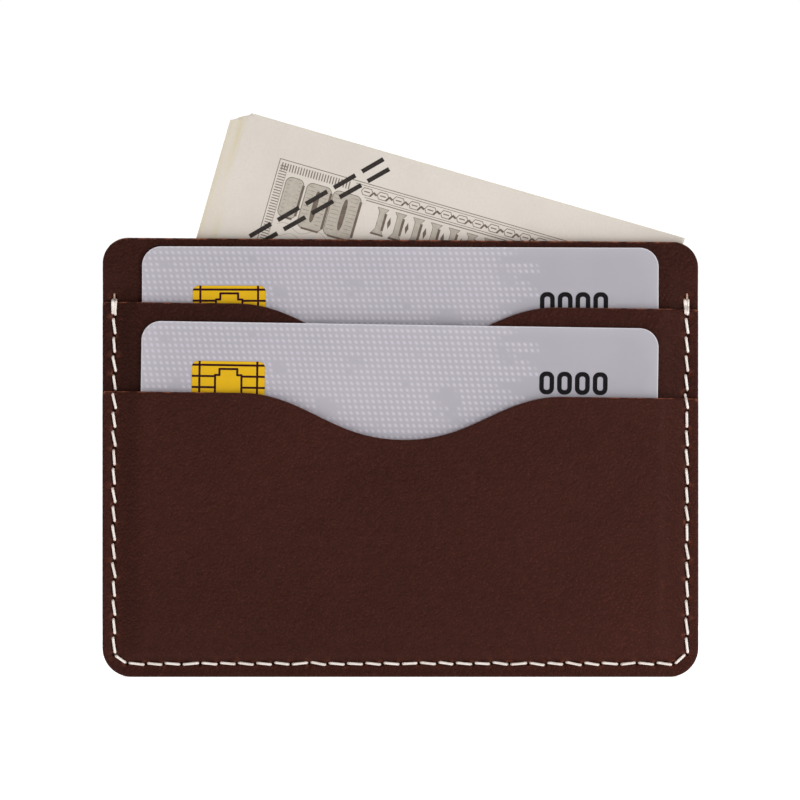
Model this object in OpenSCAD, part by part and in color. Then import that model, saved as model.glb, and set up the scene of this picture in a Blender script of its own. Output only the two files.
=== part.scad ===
// Slim leather card holder: two stepped card pockets on the front, an open
// banknote pocket between the two full-height panels, two ID-1 chip cards and
// a banknote folded in half. Millimetres. +X right, +Z up towards the
// pocket mouths, -Y out of the front. Origin: middle of the bottom edge.

/* [Wallet] */
// Width of the wallet across the side seams
body_w = 98.7; // [96:0.1:104]
// Height of the two full panels at their middle
body_h = 72.4; // [70:0.05:76]
// How far the top edge falls from its left end to its right end
top_drop = 0.7; // [0:0.1:1]
// Thickness of the back and front panels
panel_t = 1.4; // [1:0.1:1.6]
// Thickness of the two pocket leathers
pocket_t = 1.0; // [0.8:0.1:1.2]
// Radius of the two top corners
top_r = 4.2; // [2:0.2:6]
// Radius of the two bottom corners
foot_r = 4.8; // [3:0.2:6]

/* [Card pockets] */
// Height of the upper pocket's mouth at its middle
upper_mouth_h = 61.5; // [58:0.1:63]
// Height of the lower pocket's mouth at its middle
lower_mouth_h = 46.7; // [42:0.1:48]
// How far each mouth falls from its left end to its right end
mouth_drop = 1.25; // [0:0.05:1.4]
// Half width of the thumb notch
notch_half_w = 26.5; // [16:0.5:30]
// Depth of the thumb notch
notch_depth = 7.45; // [4:0.05:9]
// Where the lower pocket's notch sits, left to right
lower_notch_x = 0.3; // [-2:0.05:2]
// Where the upper pocket's notch sits, left to right
upper_notch_x = -0.5; // [-2:0.05:2]
// Room left for one card, front to back
card_gap = 0.86; // [0.84:0.01:1.1]
// Room left for the folded banknote, front to back
cash_gap = 0.66; // [0.64:0.01:1.0]

/* [Stitching] */
// Distance of the side seams from the wallet's side edges
seam_inset = 1.9; // [1.7:0.1:2]
// Height of the foot seam
seam_foot = 2.2; // [2:0.01:2.3]
// Height of the top needle hole in each side seam
seam_top = 62.8; // [61.8:0.1:63.2]
// Stitches in each side seam
side_stitches = 19; // [16:1:22]
// Stitches in the foot seam
foot_stitches = 30; // [24:1:34]
// Radius of the thread
thread_r = 0.2; // [0.15:0.01:0.2]
// Radius of the needle holes
hole_r = 0.44; // [0.43:0.01:0.45]
// Height of the hidden seam that stops the upper card
stop_h = 14.6; // [13.6:0.1:14.9]
// Stitches in the hidden seam
stop_stitches = 27; // [20:1:28]

/* [Cards] */
// Width of an ID-1 card
card_w = 85.6; // [85.5:0.01:85.7]
// Height of an ID-1 card
card_h = 53.98; // [53.9:0.01:54.1]
// Thickness of an ID-1 card
card_t = 0.76; // [0.7:0.01:0.76]
// Corner radius of an ID-1 card
card_r = 3.18; // [3:0.01:3.4]
// Tilt of the lower card
lower_tilt = 0.86; // [0:0.01:0.9]
// Tilt of the upper card
upper_tilt = 0.17; // [0:0.01:0.9]

/* [Banknote] */
// Length of the banknote laid flat
note_w = 156; // [150:1:156]
// Height of the banknote
note_h = 66.3; // [60:0.1:66.5]
// Thickness of the paper
paper_t = 0.11; // [0.09:0.01:0.11]
// Tilt of the folded note in its pocket
note_tilt = 16.08; // [14:0.01:16.2]

/* [Hidden] */

leather = [0.26, 0.14, 0.11];
thread_c = [0.90, 0.86, 0.80];
card_c = [0.72, 0.71, 0.74];
gold_c = [0.85, 0.67, 0.12];
paper_c = [0.84, 0.81, 0.76];

// depths are counted forward from the back face
hw = body_w / 2;
d1 = panel_t;                          // back of the front panel, at the seam
d2 = 2 * panel_t;                      // back of the upper pocket, at the seam
d3 = d2 + pocket_t;                    // back of the lower pocket, at the seam
d4 = d3 + pocket_t;                    // front of the seam
c1 = d1 + cash_gap;                    // the same faces over the contents
c2 = d2 + cash_gap + card_gap;
c3 = d3 + cash_gap + 2 * card_gap;
depth = c3 + pocket_t;
back_y = depth / 2;

seam_x = hw - seam_inset;
rim_x = seam_x - hole_r - 0.03;        // inner edge of the flat seam allowance
lift_x = rim_x - 0.2;                  // the banknote room starts here
flat_x = card_w / 2 + 1.1;             // the card rooms are full from here in
rim_z = seam_foot + hole_r + 0.22;
lift_z = rim_z + 0.2;
stop_rise = stop_h + 1.1;              // the upper card's room starts here
stop_flat = stop_h + 2.1;
open_z = seam_top + hole_r + 0.3;      // the panels part above here

cut = 0.02;

// ---- outlines, drawn in X and Z -----------------------------------------

function arc(cx, cz, r, a0, a1, n = 8) =
    [for (i = [0:n]) let (a = a0 + (a1 - a0) * i / n)
        [cx + r * cos(a), cz + r * sin(a)]];

function mouth(h, x) = h - mouth_drop * x / body_w;
function notch(x) = abs(x) >= notch_half_w ? 0
    : let (t = 180 * x / notch_half_w)
        notch_depth * (1 + cos(t)) / 2 * (1 + 0.08 * pow(sin(t), 2));

// foot corners, anticlockwise from the left side
function foot_points() = concat(
    arc(-hw + foot_r, foot_r, foot_r, 180, 270),
    arc(hw - foot_r, foot_r, foot_r, 270, 360));

function panel_outline() = concat(foot_points(),
    arc(hw - top_r, body_h - top_drop / 2 - top_r, top_r, 0, 90),
    arc(-hw + top_r, body_h + top_drop / 2 - top_r, top_r, 90, 180));

function pocket_outline(h, nx) = concat(foot_points(),
    [[hw, mouth(h, hw)]],
    [for (i = [24:-1:-24]) let (x = notch_half_w * i / 24)
        [x + nx, mouth(h, x + nx) - notch(x)]],
    [[-hw, mouth(h, -hw)]]);

function round_rect(w, h, r, n = 6) = concat(
    arc(-w / 2 + r, -h / 2 + r, r, 180, 270, n),
    arc(w / 2 - r, -h / 2 + r, r, 270, 360, n),
    arc(w / 2 - r, h / 2 - r, r, 0, 90, n),
    arc(-w / 2 + r, h / 2 - r, r, 90, 180, n));

// a sheet of an X-Z shape from depth a to depth b
module slab(a, b) {
    translate([0, back_y - a, 0]) rotate([90, 0, 0])
        linear_extrude(b - a) children();
}

// ---- leather that steps over what lies under it ---------------------------

// everything behind a face: side is [x, depth] from the edge inwards, mirrored;
// foot is [z, depth] from the bottom upwards
module behind(side, foot, far) {
    n = len(side) - 1;
    intersection() {
        translate([0, 0, -far]) linear_extrude(body_h + 2 * far) polygon(concat(
            [[-hw - far, back_y + far]],
            [[-hw - far, back_y - side[0][1]]],
            [for (p = side) [-p[0], back_y - p[1]]],
            [for (i = [n:-1:0]) [side[i][0], back_y - side[i][1]]],
            [[hw + far, back_y - side[0][1]]],
            [[hw + far, back_y + far]]));
        translate([-hw - far, 0, 0]) rotate([90, 0, 90])
            linear_extrude(body_w + 2 * far) polygon(concat(
            [[back_y + far, -far], [back_y - foot[0][1], -far]],
            [for (p = foot) [back_y - p[1], p[0]]],
            [[back_y - foot[len(foot) - 1][1], body_h + far],
             [back_y + far, body_h + far]]));
    }
}

// above the seams' last needle holes the panels are open to their side edges
module open_top(d) {
    translate([-hw - 4, 0, 0]) rotate([90, 0, 90])
        linear_extrude(body_w + 8) polygon([
            [back_y + 4, open_z], [back_y, open_z], [back_y - d, open_z + 2],
            [back_y - d, body_h + 4], [back_y + 4, body_h + 4]]);
}

module draped(side_in, foot_in, side_out, foot_out, outline, in_d = 0, out_d = 0) {
    intersection() {
        difference() {
            union() {
                behind(side_out, foot_out, 3);
                if (out_d > 0) open_top(out_d);
            }
            behind(side_in, foot_in, 4);
            if (in_d > 0) open_top(in_d);
        }
        slab(-1, depth + 1) polygon(outline);
    }
}

function side_profile(rim, cash, full) =
    [[rim_x, rim], [lift_x, cash], [flat_x, full]];

// ---- seams -----------------------------------------------------------------

pitch_side = (seam_top - seam_foot - 1.49) / side_stitches;
foot_x = seam_x - 2.2;
pitch_foot = 2 * foot_x / foot_stitches;
HOLES = concat(
    [for (i = [0:side_stitches]) [-seam_x, seam_top - i * pitch_side]],
    [for (i = [0:foot_stitches]) [-foot_x + i * pitch_foot, seam_foot]],
    [for (i = [side_stitches:-1:0]) [seam_x, seam_top - i * pitch_side]]);
stop_x = 41.6;
STOP_HOLES = [for (i = [0:stop_stitches])
    [-stop_x + 2 * stop_x * i / stop_stitches, stop_h]];

// front face of the seam at a needle hole
function seam_face(p) =
    p[1] > mouth(upper_mouth_h, p[0]) - hole_r ? d2
    : p[1] > mouth(lower_mouth_h, p[0]) - hole_r ? d3 : d4;

module needle_holes(points, top) {
    for (p = points) if (p[1] < top)
        translate([p[0], back_y + 1, p[1]]) rotate([90, 0, 0])
            cylinder(r = hole_r, h = depth + 2, $fn = 20);
}

// the bed that the stitches press into a leather's face, from depth a to b
module seam_bed(a, b) {
    w = 2 * thread_r + 0.1;
    side_h = seam_top - HOLES[side_stitches][1];
    slab(a, b) union() {
        for (s = [-1, 1]) {
            translate([s * seam_x - w / 2, HOLES[side_stitches][1]])
                square([w, side_h]);
            p = [s * seam_x, HOLES[side_stitches][1]];
            q = [s * foot_x, seam_foot];
            translate(p) rotate(atan2(q[1] - p[1], q[0] - p[0]))
                translate([0, -w / 2]) square([norm(q - p), w]);
        }
        translate([-foot_x, seam_foot - w / 2]) square([2 * foot_x, w]);
    }
}

module stop_bed(a, b) {
    w = 2 * thread_r + 0.1;
    slab(a, b) translate([-stop_x, stop_h - w / 2]) square([2 * stop_x, w]);
}

// how far a leg stands from the middle of hole i, so that the two legs there
// lie side by side where the seam turns a corner too
function leg_off(v, i) = i == 0 || i == len(v) - 1 ? thread_r + 0.008
    : let (a = v[i] - v[i - 1], b = v[i + 1] - v[i])
        (thread_r + 0.008) / sqrt((1 + (a * b) / (norm(a) * norm(b))) / 2);

// a round-cornered staple of thread in the plane of u (along the seam) and e
// (towards its legs' ends), as one closed tube of flat sides
STAPLE_SIDES = 8;
module staple(a, b, u, e, h) {
    w = cross(u, e);
    k = 0.1;                            // how far each corner is cut
    len_u = norm(b - a);
    path = [[0, h], [0, k], [k, 0], [len_u - k, 0], [len_u, k], [len_u, h]];
    dirs = [for (i = [0:4]) let (d = path[i + 1] - path[i]) d / norm(d)];
    across = [for (i = [0:5]) let (
        d1 = dirs[max(i - 1, 0)], d2 = dirs[min(i, 4)],
        n1 = [-d1[1], d1[0]], n2 = [-d2[1], d2[0]],
        m = (n1 + n2) / norm(n1 + n2)) m / (m * n1)];
    rings = [for (i = [0:5]) [for (j = [0:STAPLE_SIDES - 1]) let (
        t = 360 * (j + 0.5) / STAPLE_SIDES,
        c = path[i] + thread_r * cos(t) * across[i],
        p = a + u * c[0] + e * c[1] + w * thread_r * sin(t)) p]];
    n = STAPLE_SIDES;
    polyhedron(
        points = [for (r = rings) for (p = r) p],
        faces = concat(
            [[for (j = [0:n - 1]) j]],
            [[for (j = [n - 1:-1:0]) 5 * n + j]],
            [for (i = [0:4]) for (j = [0:n - 1]) let (q = (j + 1) % n)
                [i * n + j, (i + 1) * n + j, (i + 1) * n + q, i * n + q]]));
}

// stitch i of a row of holes: a run at one depth, with a leg in each hole
module stitch(v, i, run_d, leg_d) {
    p = v[i];
    q = v[i + 1];
    u = (q - p) / norm(q - p);
    a = p + u * leg_off(v, i);
    b = q - u * leg_off(v, i + 1);
    staple([a[0], back_y - run_d, a[1]], [b[0], back_y - run_d, b[1]],
           [u[0], 0, u[1]], [0, run_d > leg_d ? 1 : -1, 0],
           abs(run_d - leg_d));
}

// ---- leather nodes -----------------------------------------------------------

bed = 0.2;                              // thread half sunk, on show
deep_bed = 2 * thread_r + 0.02;         // thread flush, where things slide past

module back_panel() {
    color(leather) difference() {
        slab(0, panel_t) polygon(panel_outline());
        needle_holes(HOLES, body_h);
        seam_bed(-1, deep_bed);
    }
}

module front_panel() {
    side = [[rim_x, d1], [lift_x, c1]];
    foot = [[rim_z, d1], [lift_z, c1]];
    side_o = [for (p = side) [p[0], p[1] + panel_t]];
    foot_o = [for (p = foot) [p[0], p[1] + panel_t]];
    color(leather) difference() {
        draped(side, foot, side_o, foot_o, panel_outline(), c1, c1 + panel_t);
        needle_holes(HOLES, body_h);
        needle_holes(STOP_HOLES, body_h);
        stop_bed(0, c1 + deep_bed);
    }
}

module upper_pocket() {
    side = side_profile(d2, d2 + cash_gap, c2);
    foot = [[rim_z, d2], [lift_z, d2 + cash_gap],
            [stop_rise, d2 + cash_gap], [stop_flat, c2]];
    side_o = [for (p = side) [p[0], p[1] + pocket_t]];
    foot_o = [for (p = foot) [p[0], p[1] + pocket_t]];
    color(leather) difference() {
        draped(side, foot, side_o, foot_o, pocket_outline(upper_mouth_h, upper_notch_x));
        needle_holes(HOLES, body_h);
        needle_holes(STOP_HOLES, body_h);
        difference() {
            seam_bed(d3 - bed, d3 + 1);
            slab(0, depth) translate([-hw, 0])
                square([body_w, lower_mouth_h - 3]);
        }
        stop_bed(d3 + cash_gap - bed, d3 + cash_gap + 1);
    }
}

module lower_pocket() {
    side = side_profile(d3, d3 + cash_gap, c3);
    foot = [[rim_z, d3], [rim_z + 0.55, c3]];
    side_o = [for (p = side) [p[0], p[1] + pocket_t]];
    foot_o = [[rim_z - 0.2, d4], [rim_z + 0.1, depth]];
    color(leather) difference() {
        draped(side, foot, side_o, foot_o, pocket_outline(lower_mouth_h, lower_notch_x));
        needle_holes(HOLES, body_h);
        seam_bed(d4 - bed, d4 + 1);
    }
}

// ---- thread nodes ------------------------------------------------------------

module seam_needle_thread() {
    n = len(HOLES) - 1;
    color(thread_c) for (i = [0:n - 1]) {
        f = max(seam_face(HOLES[i]), seam_face(HOLES[i + 1]));
        stitch(HOLES, i, f + thread_r - bed, panel_t + 0.02);
    }
    // the end stitches are sewn twice, side by side
    color(thread_c) for (s = [-1, 1]) {
        f = max(seam_face([s * seam_x, seam_top - pitch_side]), d3);
        x = s * (seam_x + 2 * thread_r + 0.02);
        y = back_y - f - thread_r - 0.01;
        staple([x, y, seam_top - pitch_side + 0.1], [x, y, seam_top + 0.4],
               [0, 0, 1], [0, 1, 0], thread_r - 0.01);
    }
}

module seam_bobbin_thread() {
    n = len(HOLES) - 1;
    color(thread_c) for (i = [0:n - 1])
        stitch(HOLES, i, thread_r + 0.02, panel_t - 0.02);
}

module stop_needle_thread() {
    color(thread_c) for (i = [0:stop_stitches - 1])
        stitch(STOP_HOLES, i, d3 + cash_gap + thread_r - bed,
               d2 + cash_gap + 0.02);
}

module stop_bobbin_thread() {
    color(thread_c) for (i = [0:stop_stitches - 1])
        stitch(STOP_HOLES, i, c1 + thread_r + 0.02, d2 + cash_gap - 0.02);
}

// ---- cards: drawn about the card's centre, front face towards -Y --------------

chip_w = 12.1;
chip_h = 10.5;
chip_x = -28.34;
chip_z = card_h / 2 - 6.5 - chip_h / 2;
contact_t = 0.05;
carrier_t = 0.15;
resin_t = 0.32;
skin_t = 0.04;                          // stripe and signature panel
line_w = 0.36;

module card_slab(a, b) {                // a and b counted back from the front face
    translate([0, -card_t / 2 + b, 0]) rotate([90, 0, 0])
        linear_extrude(b - a) children();
}

module on_upper() {
    translate([-0.08, back_y - (d2 + cash_gap + card_gap / 2),
               71.21 - card_h / 2])
        rotate([0, upper_tilt, 0]) children();
}

module on_lower() {
    translate([-0.42, back_y - (c2 + pocket_t + card_gap / 2),
               58.34 - card_h / 2])
        rotate([0, lower_tilt, 0]) children();
}

module chip_outline() {
    translate([chip_x, chip_z]) polygon(round_rect(chip_w, chip_h, 1.0));
}

module card_body() {
    difference() {
        card_slab(0, card_t) polygon(round_rect(card_w, card_h, card_r, 10));
        card_slab(-1, contact_t + carrier_t) chip_outline();
        card_slab(0, contact_t + carrier_t + resin_t)
            translate([chip_x, chip_z]) polygon(round_rect(8.4, 7.6, 1.2));
        card_slab(card_t - skin_t, card_t + 1) translate([0, 16.6])
            square([card_w + 2, 12.7], center = true);
        card_slab(card_t - skin_t, card_t + 1) translate([-4, 2.4])
            square([70, 10], center = true);
    }
}

// the milled grid that parts the contact plate into its pads
module chip_lines() {
    translate([chip_x, chip_z]) {
        for (z = [4.61, -4.61]) translate([0, z])
            square([chip_w + 1, line_w], center = true);
        for (x = [4.78, -4.78]) translate([x, 0])
            square([line_w, chip_h + 1], center = true);
        for (s = [-1, 1]) {
            for (z = [2.76, 0.92, -0.92, -2.76]) translate([s * (2.19 + 2.2), z])
                square([4.4, line_w], center = true);
            translate([s * 2.19, 0]) square([line_w, 6.14], center = true);
            for (t = [-1, 1]) {
                translate([s * 1.83, t * 2.97]) square([0.92, line_w], center = true);
                translate([s * 1.47, t * 3.475]) square([line_w, 1.21], center = true);
            }
        }
        for (t = [-1, 1]) translate([0, t * 3.98])
            square([3.14, line_w], center = true);
    }
}

module chip_contacts() {
    difference() {
        card_slab(0, contact_t) chip_outline();
        card_slab(-1, contact_t + 1) chip_lines();
    }
}

module chip_carrier() {
    card_slab(contact_t, contact_t + carrier_t) chip_outline();
}

module chip_resin() {
    a = contact_t + carrier_t;
    difference() {
        card_slab(a, a + resin_t) translate([chip_x, chip_z])
            polygon(round_rect(8.4, 7.6, 1.2));
        card_slab(a - 1, a + 0.18) translate([chip_x, chip_z])
            square([2.4, 2.2], center = true);
    }
}

module chip_die() {
    a = contact_t + carrier_t;
    card_slab(a, a + 0.18) translate([chip_x, chip_z])
        square([2.4, 2.2], center = true);
}

module magnetic_stripe() {
    card_slab(card_t - skin_t, card_t) translate([0, 16.6])
        square([card_w, 12.7], center = true);
}

module signature_panel() {
    card_slab(card_t - skin_t, card_t) translate([-4, 2.4])
        square([70, 10], center = true);
}

module upper_card_body() { color(card_c) on_upper() card_body(); }
module upper_chip_contacts() { color(gold_c) on_upper() chip_contacts(); }
module upper_chip_carrier() { color([0.14, 0.09, 0.10]) on_upper() chip_carrier(); }
module upper_chip_resin() { color([0.1, 0.1, 0.1]) on_upper() chip_resin(); }
module upper_chip_die() { color([0.35, 0.36, 0.4]) on_upper() chip_die(); }
module upper_magnetic_stripe() { color([0.08, 0.07, 0.07]) on_upper() magnetic_stripe(); }
module upper_signature_panel() { color([0.9, 0.9, 0.88]) on_upper() signature_panel(); }

module lower_card_body() { color(card_c) on_lower() card_body(); }
module lower_chip_contacts() { color(gold_c) on_lower() chip_contacts(); }
module lower_chip_carrier() { color([0.14, 0.09, 0.10]) on_lower() chip_carrier(); }
module lower_chip_resin() { color([0.1, 0.1, 0.1]) on_lower() chip_resin(); }
module lower_chip_die() { color([0.35, 0.36, 0.4]) on_lower() chip_die(); }
module lower_magnetic_stripe() { color([0.08, 0.07, 0.07]) on_lower() magnetic_stripe(); }
module lower_signature_panel() { color([0.9, 0.9, 0.88]) on_lower() signature_panel(); }

// ---- banknote: folded once, fold on the right ----------------------------------

note_corner = [47.3, 72.68];            // top right corner, X and Z
note_worn = [3.1, 2.05];                // how much of its top left corner is worn off

// one sheet folded in half between depths a and b, its fold towards +X
module folded_note(a, b) {
    r = (b - a) / 2;
    ri = r - paper_t;
    leaf = note_w / 2;
    translate([note_corner[0], back_y, note_corner[1]]) rotate([0, note_tilt, 0])
        intersection() {
            translate([0, 0, -note_h]) linear_extrude(note_h)
                translate([-r, -(a + b) / 2]) difference() {
                    union() {
                        circle(r = r, $fn = 48);
                        translate([-leaf + r, -r]) square([leaf - r, paper_t]);
                        translate([-leaf + r, r - paper_t])
                            square([leaf - r, paper_t]);
                        translate([-2 * r, -r]) square([2 * r, 2 * r]);
                    }
                    circle(r = ri, $fn = 48);
                    translate([-3 * r, -ri]) square([3 * r, 2 * ri]);
                }
            translate([0, 10, 0]) rotate([90, 0, 0]) linear_extrude(20)
                polygon([[1, 1], [-leaf + note_worn[0], 1],
                         [-leaf + note_worn[0], 0], [-leaf, -note_worn[1]],
                         [-leaf - 1, -note_worn[1]], [-leaf - 1, -note_h - 1],
                         [1, -note_h - 1]]);
        }
}

module banknote() {
    color(paper_c) folded_note(d1 + 0.05, c1 - 0.05);
}

// ---- assembly ------------------------------------------------------------------

back_panel();
front_panel();
upper_pocket();
lower_pocket();
seam_needle_thread();
seam_bobbin_thread();
stop_needle_thread();
stop_bobbin_thread();
upper_card_body();
upper_chip_contacts();
upper_chip_carrier();
upper_chip_resin();
upper_chip_die();
upper_magnetic_stripe();
upper_signature_panel();
lower_card_body();
lower_chip_contacts();
lower_chip_carrier();
lower_chip_resin();
lower_chip_die();
lower_magnetic_stripe();
lower_signature_panel();
banknote();
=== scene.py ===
"""Looks of the slim leather card holder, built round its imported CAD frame."""

import math

import bpy
import numpy as np
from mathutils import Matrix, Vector
from mathutils.geometry import delaunay_2d_cdt


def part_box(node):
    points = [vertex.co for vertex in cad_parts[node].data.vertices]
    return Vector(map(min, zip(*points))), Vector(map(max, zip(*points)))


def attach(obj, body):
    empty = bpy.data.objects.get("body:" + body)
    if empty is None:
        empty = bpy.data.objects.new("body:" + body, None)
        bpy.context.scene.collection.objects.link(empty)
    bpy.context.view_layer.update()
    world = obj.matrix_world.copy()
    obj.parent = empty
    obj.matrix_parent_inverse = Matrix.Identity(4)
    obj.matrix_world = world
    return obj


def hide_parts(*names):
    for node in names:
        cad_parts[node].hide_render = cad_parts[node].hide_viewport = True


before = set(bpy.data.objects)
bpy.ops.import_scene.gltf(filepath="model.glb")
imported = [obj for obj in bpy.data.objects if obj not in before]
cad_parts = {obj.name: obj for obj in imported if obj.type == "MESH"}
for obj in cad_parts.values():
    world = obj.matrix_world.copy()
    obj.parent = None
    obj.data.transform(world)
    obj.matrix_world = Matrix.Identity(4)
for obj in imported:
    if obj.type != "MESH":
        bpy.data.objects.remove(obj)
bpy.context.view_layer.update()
MM = 0.001
rng = np.random.default_rng(11)

# ---------------------------------------------------------------- sizes, in mm
lo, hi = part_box("back_panel")
HW = hi.x / MM
BACK_Y = hi.y / MM
TOP = hi.z / MM  # the panels' highest point, at the left
TOP_DROP, TOP_R, FOOT_R = 0.7, 4.2, 4.8
PANEL_T, POCKET_T = 1.4, 1.0
CASH, GAP = 0.66, 0.86
D1, D2 = PANEL_T, 2 * PANEL_T
D3, D4 = D2 + POCKET_T, D2 + 2 * POCKET_T
C1, C2, C3 = D1 + CASH, D2 + CASH + GAP, D3 + CASH + 2 * GAP
UPPER_MOUTH, LOWER_MOUTH, MOUTH_DROP = 61.5, 46.7, 1.25
NOTCH_W, NOTCH_D = 26.5, 7.45
SEAM_X, SEAM_FOOT, SEAM_TOP = HW - 1.9, 2.2, 62.8
STOP_Z, STOP_X = 14.6, 41.6
OPEN_Z = 63.54


def mouth(h, x):
    return h - MOUTH_DROP * x / (2 * HW)


def notch(x):
    t = np.pi * np.clip(x / NOTCH_W, -1, 1)
    return NOTCH_D * (1 + np.cos(t)) / 2 * (1 + 0.08 * np.sin(t) ** 2)


def lower_edge(x):
    return mouth(LOWER_MOUTH, x) - notch(x - 0.3)


def upper_edge(x):
    return mouth(UPPER_MOUTH, x) - notch(x + 0.5)


# ------------------------------------------------------------ outline polygons
def arc(cx, cz, r, a0, a1, n=18):
    a = np.radians(np.linspace(a0, a1, n + 1))
    return np.stack([cx + r * np.cos(a), cz + r * np.sin(a)], 1)


def joined(*parts):
    """The parts as one closed loop, resampled to about 0.35 mm, corners kept."""
    p = np.concatenate(parts)
    keep = np.r_[True, np.linalg.norm(np.diff(p, axis=0), axis=1) > 1e-6]
    p = p[keep]
    out = []
    for a, b in zip(p, np.roll(p, -1, axis=0)):
        n = max(1, int(round(np.linalg.norm(b - a) / 0.35)))
        for k in range(n):
            out.append(a + (b - a) * k / n)
    return np.array(out)


def foot_arcs():
    return (
        arc(-HW + FOOT_R, FOOT_R, FOOT_R, 180, 270),
        arc(HW - FOOT_R, FOOT_R, FOOT_R, 270, 360),
    )


def panel_loop():
    return joined(
        *foot_arcs(),
        arc(HW - TOP_R, TOP - TOP_DROP - TOP_R, TOP_R, 0, 90),
        arc(-HW + TOP_R, TOP - TOP_R, TOP_R, 90, 180),
    )


def pocket_loop(edge):
    x = np.linspace(HW, -HW, 281)
    z = edge(x)
    # the mouth's two ends are eased by a hair
    z = z - 0.25 * np.clip(1 - (HW - np.abs(x)) / 0.5, 0, 1) ** 2
    return joined(*foot_arcs(), np.stack([x, z], 1))


def away(p, loop):
    """Distance of each point to a closed loop."""
    a, b = loop, np.roll(loop, -1, axis=0)
    d = b - a
    dd = (d * d).sum(1)
    best = np.full(len(p), 1e9)
    for s in range(0, len(p), 2000):
        q = p[s : s + 2000]
        t = np.clip(((q[:, None] - a) * d).sum(2) / dd, 0, 1)
        c = a + t[..., None] * d
        best[s : s + 2000] = np.sqrt(((q[:, None] - c) ** 2).sum(2).min(1))
    return best


def inside(p, loop):
    a, b = loop, np.roll(loop, -1, axis=0)
    n = np.zeros(len(p), int)
    for (ax, az), (bx, bz) in zip(a, b):
        if az == bz:
            continue
        hit = (az > p[:, 1]) != (bz > p[:, 1])
        x = ax + (p[:, 1] - az) * (bx - ax) / (bz - az)
        n += hit & (p[:, 0] < x)
    return n % 2 == 1


# --------------------------------------------------------------------- seams
SIDE_N, FOOT_N, STOP_N = 19, 30, 27
pitch = (SEAM_TOP - SEAM_FOOT - 1.49) / SIDE_N
FX = SEAM_X - 2.2
HOLES = np.array(
    [[-SEAM_X, SEAM_TOP - i * pitch] for i in range(SIDE_N + 1)]
    + [[-FX + 2 * FX * i / FOOT_N, SEAM_FOOT] for i in range(FOOT_N + 1)]
    + [[SEAM_X, SEAM_TOP - i * pitch] for i in range(SIDE_N, -1, -1)]
)
# hand-set holes: a little off the line
HOLES = HOLES + rng.normal(0, 0.045, HOLES.shape)
STOPS = np.array(
    [[-STOP_X + 2 * STOP_X * i / STOP_N, STOP_Z] for i in range(STOP_N + 1)]
)


def segments_away(x, z, pts):
    """Distance to the row of stitches and to the nearest hole."""
    p = np.stack([x, z], 1)
    a, b = pts[:-1], pts[1:]
    d = b - a
    dd = (d * d).sum(1)
    seg = np.full(len(p), 1e9)
    hole = np.full(len(p), 1e9)
    for s in range(0, len(p), 4000):
        q = p[s : s + 4000]
        t = np.clip(((q[:, None] - a) * d).sum(2) / dd, 0, 1)
        c = a + t[..., None] * d
        seg[s : s + 4000] = np.sqrt(((q[:, None] - c) ** 2).sum(2).min(1))
        hole[s : s + 4000] = np.sqrt(((q[:, None] - pts) ** 2).sum(2).min(1))
    return seg, hole


# ----------------------------------------------------- how the leathers lie
def ease(t):
    t = np.clip(t, 0, 1)
    return t * t * (3 - 2 * t)


def side(x, x0, x1):
    return ease((x0 - np.abs(x)) / (x0 - x1))


def foot(z, z0, z1):
    return ease((z - z0) / (z1 - z0))


def uneven(x, z, k=0.0):
    return (
        0.035 * np.sin(x * 0.13 + 1.3 + k) * np.sin(z * 0.11 + 0.7 - k)
        + 0.022 * np.sin(x * 0.31 - 0.6 * z * 0.3 + k)
        + 0.012 * np.sin(z * 0.47 + x * 0.12 + 2.0 * k)
    )


def front_out(x, z):
    a = side(x, 47.0, 44.6) * foot(z, 2.6, 5.0)
    opened = ease((z - OPEN_Z) / 4.5)
    a = 1 - (1 - a) * (1 - opened)
    return D2 + CASH * a + uneven(x, z, 1.0) * side(x, 46, 38) * foot(z, 3, 8)


def front_in(x, z):
    a = side(x, 46.8, 46.3) * foot(z, 2.75, 3.3)
    opened = ease((z - OPEN_Z) / 2.5)
    return D1 + CASH * (1 - (1 - a) * (1 - opened))


def upper_in(x, z):
    b = side(x, 46.2, 43.6) * foot(z, 15.3, 16.9)
    return front_out(x, z) * (1 - b) + C2 * b


def upper_out(x, z):
    a = side(x, 46.9, 44.2) * foot(z, 2.7, 5.5)
    b = side(x, 46.7, 42.9) * foot(z, 14.5, 18.8)
    return D3 + CASH * a + GAP * b + uneven(x, z, 2.0) * side(x, 46, 38) * b


def lower_in(x, z):
    c = side(x, 46.3, 43.4) * foot(z, 2.75, 3.45)
    return upper_out(x, z) * (1 - c) + (C3 + 0.02) * c


def lower_out(x, z):
    c = side(x, 46.9, 42.6) * (0.78 * foot(z, 2.3, 3.9) + 0.22 * foot(z, 3.0, 10.0))
    lip = 0.12 * np.exp(-np.maximum(lower_edge(x) - z, 0) / 2.2) * side(x, 44, 30)
    return (
        D4
        + (C3 + POCKET_T - D4) * c
        + (uneven(x, z, 0.0) * 1.3 + lip) * side(x, 45, 36) * foot(z, 4, 10)
    )


def stitched(fn, rows=HOLES, bed=0.17, pit=0.62, pull=0.14):
    """The same face, drawn in along its stitches and pierced at their holes."""

    def face(x, z):
        seg, hole = segments_away(x, z, rows)
        return (
            fn(x, z)
            - pull * np.exp(-((seg / 0.9) ** 2))
            - bed * np.exp(-((seg / 0.26) ** 4))
            - pit * np.exp(-((hole / 0.36) ** 2))
            + 0.03 * np.exp(-(((hole - 0.56) / 0.12) ** 2))
        )

    return face


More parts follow.
